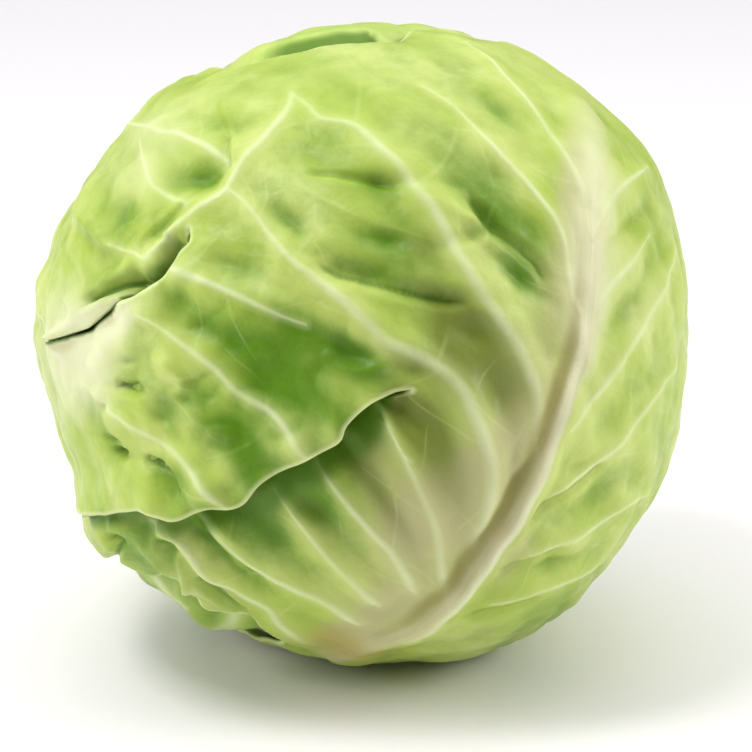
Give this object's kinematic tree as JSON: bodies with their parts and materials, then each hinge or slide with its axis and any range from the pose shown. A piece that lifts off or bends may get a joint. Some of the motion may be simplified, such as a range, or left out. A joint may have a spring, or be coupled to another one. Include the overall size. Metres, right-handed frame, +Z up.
{
  "type": "green cabbage",
  "caption": "Round cabbage head: overlapping veined wrapper leaves, the outermost torn into lobes at one side, round a dense heart and a recessed cut stem.",
  "frame": {"origin": "on the resting surface, at the middle of the head's box", "axes": "+Z up from the resting surface, -Y to the front, where the outer leaf's torn lobes show, +X to the right seen from the front"},
  "size_m": [0.1796, 0.1824, 0.1742],
  "materials": {
    "stem": "pale cut stalk",
    "heart": "pale waxy leaf",
    "leaf_front": "waxy green leaf",
    "leaf_back": "waxy green leaf",
    "leaf_left": "waxy green leaf",
    "leaf_right": "waxy green leaf"
  },
  "bodies": {
    "root": {"stem": "stem", "heart": "heart", "leaf_front": "leaf_front", "leaf_back": "leaf_back", "leaf_left": "leaf_left", "leaf_right": "leaf_right"}
  },
  "joints": []
}
